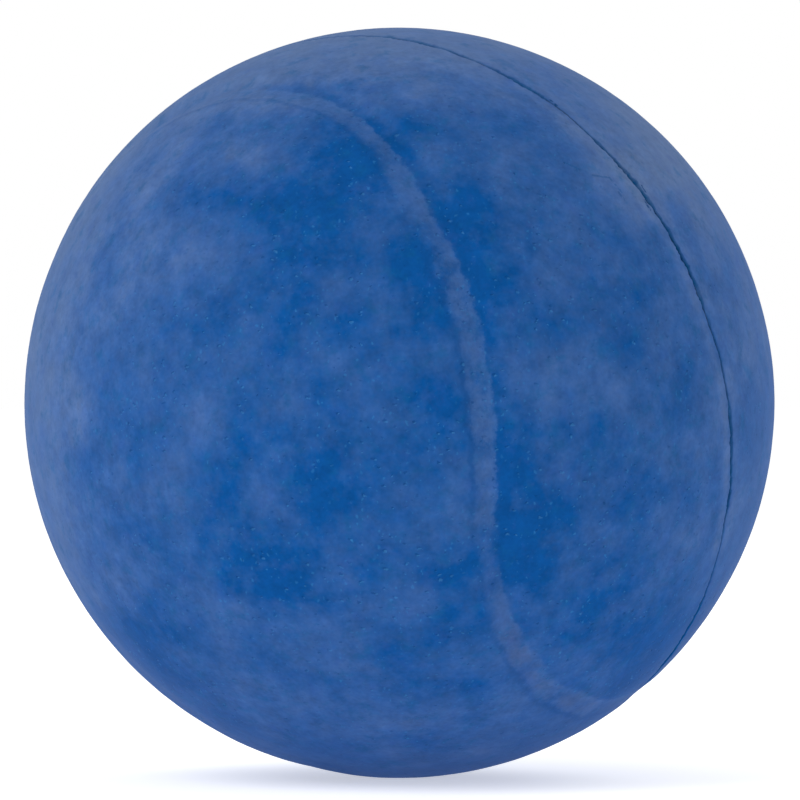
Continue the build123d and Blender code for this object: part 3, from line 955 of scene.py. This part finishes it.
def skin_material():
    """The skins' blue rubber: bare or bloomed, with painted light and shade, the groove's band, specks,
    marks and painted shade in the joint's notch.
    """
    material, tree, shader, where = rubber("bloomed_blue_rubber")
    seam, chalk_and_lit_band, bare_and_shaded_strip, dust, patches_and_light, notch_shade, mottle = (
        add(tree, "ShaderNodeAttribute", attribute_name=name).outputs["Fac"]
        for name in ("seam", "chalk_and_lit_band", "bare_and_shaded", "dust", "patches_and_light", "notch_shade", "mottle")
    )

    def times(a, b):
        return maths(tree, "MULTIPLY", a, b)

    def weighed(value, weight, base):
        return maths(tree, "MULTIPLY_ADD", value, weight, base)

    def centred(scale, detail, rough):
        return maths(tree, "SUBTRACT", blur_noise(tree, where, scale, detail, rough), 0.5)

    def stripe(value, sides):
        return times(remap(tree, value, *sides[0]), remap(tree, value, *sides[1]))

    def fine_line(value, middle, outer, inner):
        gap = maths(tree, "ABSOLUTE", maths(tree, "SUBTRACT", value, middle))
        return remap(tree, gap, outer, inner)

    # Bloom: 0 is bare rubber and 1 is chalky. The painted light and shade from the skins' marks are
    # added in as bloom too.
    *noise_shape, weight = BLOOM_CLOUDS
    bloom_and_painted_light = weighed(centred(*noise_shape), weight, BLOOM_BASE)
    for *noise_shape, weight in BLOOM_MOTTLES:
        bloom_and_painted_light = weighed(times(centred(*noise_shape), mottle), weight, bloom_and_painted_light)
    *noise_shape, weight = BLOOM_DUST
    bloom_and_painted_light = weighed(centred(*noise_shape), weight, bloom_and_painted_light)
    bloom_and_painted_light = maths(tree, "ADD", patches_and_light, bloom_and_painted_light)

    # The groove's pale band, chalk and painted light, and the bare strip beside it, which is also
    # painted shade.
    ragged = seam
    for *noise_shape, weight in BAND_FRAYS:
        ragged = weighed(centred(*noise_shape), weight, ragged)
    chalk = remap(tree, blur_noise(tree, where, *CHALK_NOISE), *CHALK_STEP)
    chalk_and_lit_band_share = times(times(stripe(ragged, PALE_SIDES), chalk), chalk_and_lit_band)
    shaded_strip = times(stripe(ragged, SHADED_STRIP_SIDES), bare_and_shaded_strip)
    toward_pale = times(maths(tree, "SUBTRACT", BAND_CHALK_AND_LIGHT, bloom_and_painted_light), times(chalk_and_lit_band_share, BAND_CHALK_AND_LIGHT_PULL))
    bloom_and_painted_light = maths(tree, "ADD", bloom_and_painted_light, toward_pale)
    bloom_and_painted_light = weighed(shaded_strip, SHADED_STRIP_BLOOM, bloom_and_painted_light)
    bloom_and_painted_light = maths(tree, "MINIMUM", maths(tree, "MAXIMUM", bloom_and_painted_light, 0.0), MOST_BLOOM)

    # Pits with painted shade in them, each with painted light on its lit rim beside it, in clusters and
    # along the groove's edge.
    swirl = add(tree, "ShaderNodeTexNoise", {"Vector": where, "Scale": SWIRL_SCALE, "Detail": SWIRL_DETAIL})
    swirl = vectors(tree, "SCALE", swirl.outputs["Color"], SWIRL_REACH).outputs[0]
    warped = vectors(tree, "ADD", where, swirl).outputs[0]

    def specks(shift, stretch, scale, radius):
        moved = vectors(tree, "ADD", warped, shift).outputs[0]
        moved = vectors(tree, "MULTIPLY", moved, stretch).outputs[0]
        cells = add(tree, "ShaderNodeTexVoronoi", {"Vector": moved, "Scale": scale})
        luck = add(tree, "ShaderNodeSeparateColor", {0: cells.outputs["Color"]}).outputs[0]
        share = maths(tree, "DIVIDE", cells.outputs["Distance"], times(luck, radius))
        return remap(tree, share, 1.0, SPECK_CORE)

    clusters = remap(tree, blur_noise(tree, where, *CLUSTER_NOISE), *CLUSTER_STEP)
    clusters = times(clusters, remap(tree, bloom_and_painted_light, *BARE_STEP))
    clusters = maths(tree, "MAXIMUM", clusters, times(fine_line(ragged, *PIT_LINE), chalk_and_lit_band))
    shaded_pits, lit_pit_rims, grains = (times(specks(*kind), clusters) for kind in (PITS, LIT_PIT_RIMS, GRAINS))

    breaks = remap(tree, blur_noise(tree, where, *BREAKS_NOISE), *BREAKS_STEP)
    tears = times(streaks(tree, where, TEARS), breaks)
    scuffs = times(streaks(tree, where, SCUFFS), breaks)

    # The colours, from the ground up.
    hue = blur_noise(tree, where, *HUE_NOISE)
    shares = {
        "chalk": bloom_and_painted_light,
        # Chalk where the bloom is thickest, and the painted sheen at the outline.
        "thick_chalk_and_sheen": remap(tree, bloom_and_painted_light, *THICK_CHALK_AND_SHEEN_STEP),
        # The groove's pale band: chalk, and painted light on its near wall.
        "chalk_and_lit_band": chalk_and_lit_band_share,
        "dust": times(chalk_and_lit_band_share, dust),
        "greener": remap(tree, hue, *GREENER_STEP),
        "redder": remap(tree, hue, *REDDER_STEP),
        "highlight": times(times(fine_line(ragged, *HIGHLIGHT_LINE), chalk), chalk_and_lit_band),
        # A painted shade line along the groove's lip.
        "lip": times(fine_line(ragged, *LIP_SHADE_LINE), chalk_and_lit_band),
        "shaded_pits": shaded_pits,
        "lit_pit_rims": lit_pit_rims,
        "grains": grains,
        "scuffs": scuffs,
        "tears": tears,
    }
    colour = BARE_RUBBER
    for name, (cover, strength) in COVERS.items():
        colour = mix_colour(tree, times(shares[name], strength), colour, cover)

    # Light and dark grain of all sizes.
    grain = weighed(times(centred(*GRAIN_NOISE), mottle), GRAIN_WEIGHT, 1.0)
    grain = add(tree, "ShaderNodeCombineColor", {0: grain, 1: grain, 2: grain}).outputs[0]
    colour = mix_colour(tree, 1.0, colour, grain, "MULTIPLY")

    # Painted shade in the joint's notch, broken up by noise.
    notch_shade_breaks = remap(tree, blur_noise(tree, where, *NOTCH_SHADE_NOISE), *NOTCH_SHADE_STEP)
    colour = mix_colour(tree, times(notch_shade, notch_shade_breaks), colour, mix_colour(tree, hue, *NOTCH_SHADE_COLOURS))
    tree.links.new(colour, shader.inputs["Base Color"])

    relief = times(blur_noise(tree, where, *RELIEF_NOISE), RELIEF)
    for part, height in ((shaded_pits, PIT_RELIEF), (lit_pit_rims, PIT_RIM_RELIEF), (scuffs, SCUFF_RELIEF)):
        relief = weighed(part, height, relief)
    inputs = {"Height": relief, "Distance": RELIEF_DISTANCE, "Strength": RELIEF_STRENGTH}
    tree.links.new(add(tree, "ShaderNodeBump", inputs).outputs[0], shader.inputs["Normal"])
    tree.links.new(remap(tree, bloom_and_painted_light, 0.0, 1.0, *SKIN_ROUGHNESS), shader.inputs["Roughness"])
    shader.inputs["Specular IOR Level"].default_value = SKIN_SPECULAR
    shader.inputs["Sheen Weight"].default_value = SKIN_SHEEN
    shader.inputs["Sheen Roughness"].default_value = SKIN_SHEEN_ROUGHNESS
    return material


# The bead's and the core's rubber: colour, roughness, the spots' noise and darkness, and the rest.
# The bead's dark colour is also painted shade: the shade at the floor of the joint's notch.
BEAD_COLOUR, BEAD_ROUGHNESS = (0.006, 0.045, 0.14, 1), 0.7
CORE_COLOUR, CORE_ROUGHNESS = (0.07, 0.2, 0.46, 1), 0.9
SPOT_NOISE = (700.0, 4.0, 0.6)
SPOT_SHADE = 0.6
SPOT_DISTANCE, SPOT_STRENGTH = 0.0001, 0.5
PLAIN_SPECULAR = 0.2


def plain_material(name, colour, roughness):
    """A spotted rubber for the bead and the core."""
    material, tree, shader, where = rubber(name)
    spots = blur_noise(tree, where, *SPOT_NOISE)
    darker = tuple(c * SPOT_SHADE for c in colour[:3]) + (1,)
    tree.links.new(mix_colour(tree, spots, darker, colour), shader.inputs["Base Color"])
    inputs = {"Height": spots, "Distance": SPOT_DISTANCE, "Strength": SPOT_STRENGTH}
    tree.links.new(add(tree, "ShaderNodeBump", inputs).outputs[0], shader.inputs["Normal"])
    shader.inputs["Roughness"].default_value = roughness
    shader.inputs["Specular IOR Level"].default_value = PLAIN_SPECULAR
    return material


skin = skin_material()
for piece, node in ((front_skin, "front_skin_half"), (back_skin, "back_skin_half")):
    piece.data.materials.append(skin)
    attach(piece, "root")
    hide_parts(node)
bead.data.materials.append(plain_material("dark_joint_rubber_and_shade", BEAD_COLOUR, BEAD_ROUGHNESS))
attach(bead, "root")
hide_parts("joint_bead")
core.data.materials.append(plain_material("open_cell_sponge", CORE_COLOUR, CORE_ROUGHNESS))
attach(core, "root")
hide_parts("foam_core")

# The white surroundings, in metres. Each glows with one strength where it is looked at, and with
# another where it lights the ball.
FLOOR_GAP = 0.00002  # keeps the ball's lowest point just clear of the floor
FLOOR_REACH = 30.0
FLOOR_PAINT = (0.86, 0.86, 0.86, 1)
WHITE = (1, 1, 1, 1)
SEEN_GLOW = 0.5
BOUNCE_GLOW = 0.49
BACKDROP = 1.0
AMBIENT = 0.645


def glow_strength(tree, looked_at, lighting):
    """A strength that differs between what is looked at and the light that reaches a surface."""
    path = add(tree, "ShaderNodeLightPath")
    direct = maths(tree, "MAXIMUM", path.outputs["Is Camera Ray"], path.outputs["Is Glossy Ray"])
    direct = maths(tree, "MAXIMUM", direct, path.outputs["Is Transmission Ray"])
    return maths(tree, "MULTIPLY_ADD", direct, looked_at - lighting, lighting)


def floor_material():
    """White paint with a glow."""
    material, tree = new_material("white_floor")
    paint = add(tree, "ShaderNodeBsdfDiffuse", {"Color": FLOOR_PAINT})
    strength = glow_strength(tree, SEEN_GLOW, BOUNCE_GLOW)
    glow = add(tree, "ShaderNodeEmission", {"Color": WHITE, "Strength": strength})
    both = add(tree, "ShaderNodeAddShader", {0: paint.outputs[0], 1: glow.outputs[0]})
    add(tree, "ShaderNodeOutputMaterial", {"Surface": both.outputs[0]})
    return material


floor_mesh = bpy.data.meshes.new("floor")
floor_z = -BALL_RADIUS * MM - FLOOR_GAP
corners = [(x * FLOOR_REACH, y * FLOOR_REACH, floor_z) for x, y in ((-1, -1), (1, -1), (1, 1), (-1, 1))]
floor_mesh.from_pydata(corners, [], [(0, 1, 2, 3)])
floor = bpy.data.objects.new("floor", floor_mesh)
bpy.context.scene.collection.objects.link(floor)
floor.data.materials.append(floor_material())

world = bpy.data.worlds.new("studio")
bpy.context.scene.world = world
world.use_nodes = True
world.node_tree.nodes.clear()
strength = glow_strength(world.node_tree, BACKDROP, AMBIENT)
around = add(world.node_tree, "ShaderNodeBackground", {"Color": WHITE, "Strength": strength})
add(world.node_tree, "ShaderNodeOutputWorld", {"Surface": around.outputs[0]})

# The lamps are in metres and watts.
LAMP_SIZE = 0.5
KEY_PLACE, KEY_POWER = (-0.45, -0.35, 0.5), 2.2
FILL_PLACE, FILL_POWER = (0.45, 0.45, 0.5), 1.7


def lamp(name, place, power):
    """A square lamp that shines at the ball's centre."""
    data = bpy.data.lights.new(name, "AREA")
    data.size = LAMP_SIZE
    data.energy = power
    made = bpy.data.objects.new(name, data)
    made.location = place
    made.rotation_euler = (-Vector(place)).to_track_quat("-Z", "Y").to_euler()
    bpy.context.scene.collection.objects.link(made)


lamp("key", KEY_PLACE, KEY_POWER)
lamp("fill", FILL_PLACE, FILL_POWER)

# The camera stands level with the ball's centre. Its view is as wide as the photograph's, and
# shifted so that the ball is where the photograph has it.
SENSOR_WIDTH = 36.0
HALF_VIEW = 0.0671  # the tangent of half the view's angle
VIEW_SHIFT = (0.00104, 0.0035)
CLIP_START, CLIP_END = 0.01, 100.0

camera_data = bpy.data.cameras.new("camera")
camera_data.sensor_width = SENSOR_WIDTH
camera_data.lens = SENSOR_WIDTH / 2 / HALF_VIEW
camera_data.shift_x, camera_data.shift_y = VIEW_SHIFT
camera_data.clip_start, camera_data.clip_end = CLIP_START, CLIP_END
camera = bpy.data.objects.new("camera", camera_data)
camera.location = (0, -CAMERA_DISTANCE * MM, 0)
camera.rotation_euler = (math.pi / 2, 0, 0)
bpy.context.scene.collection.objects.link(camera)
bpy.context.scene.camera = camera
bpy.context.scene.view_settings.view_transform = "Standard"
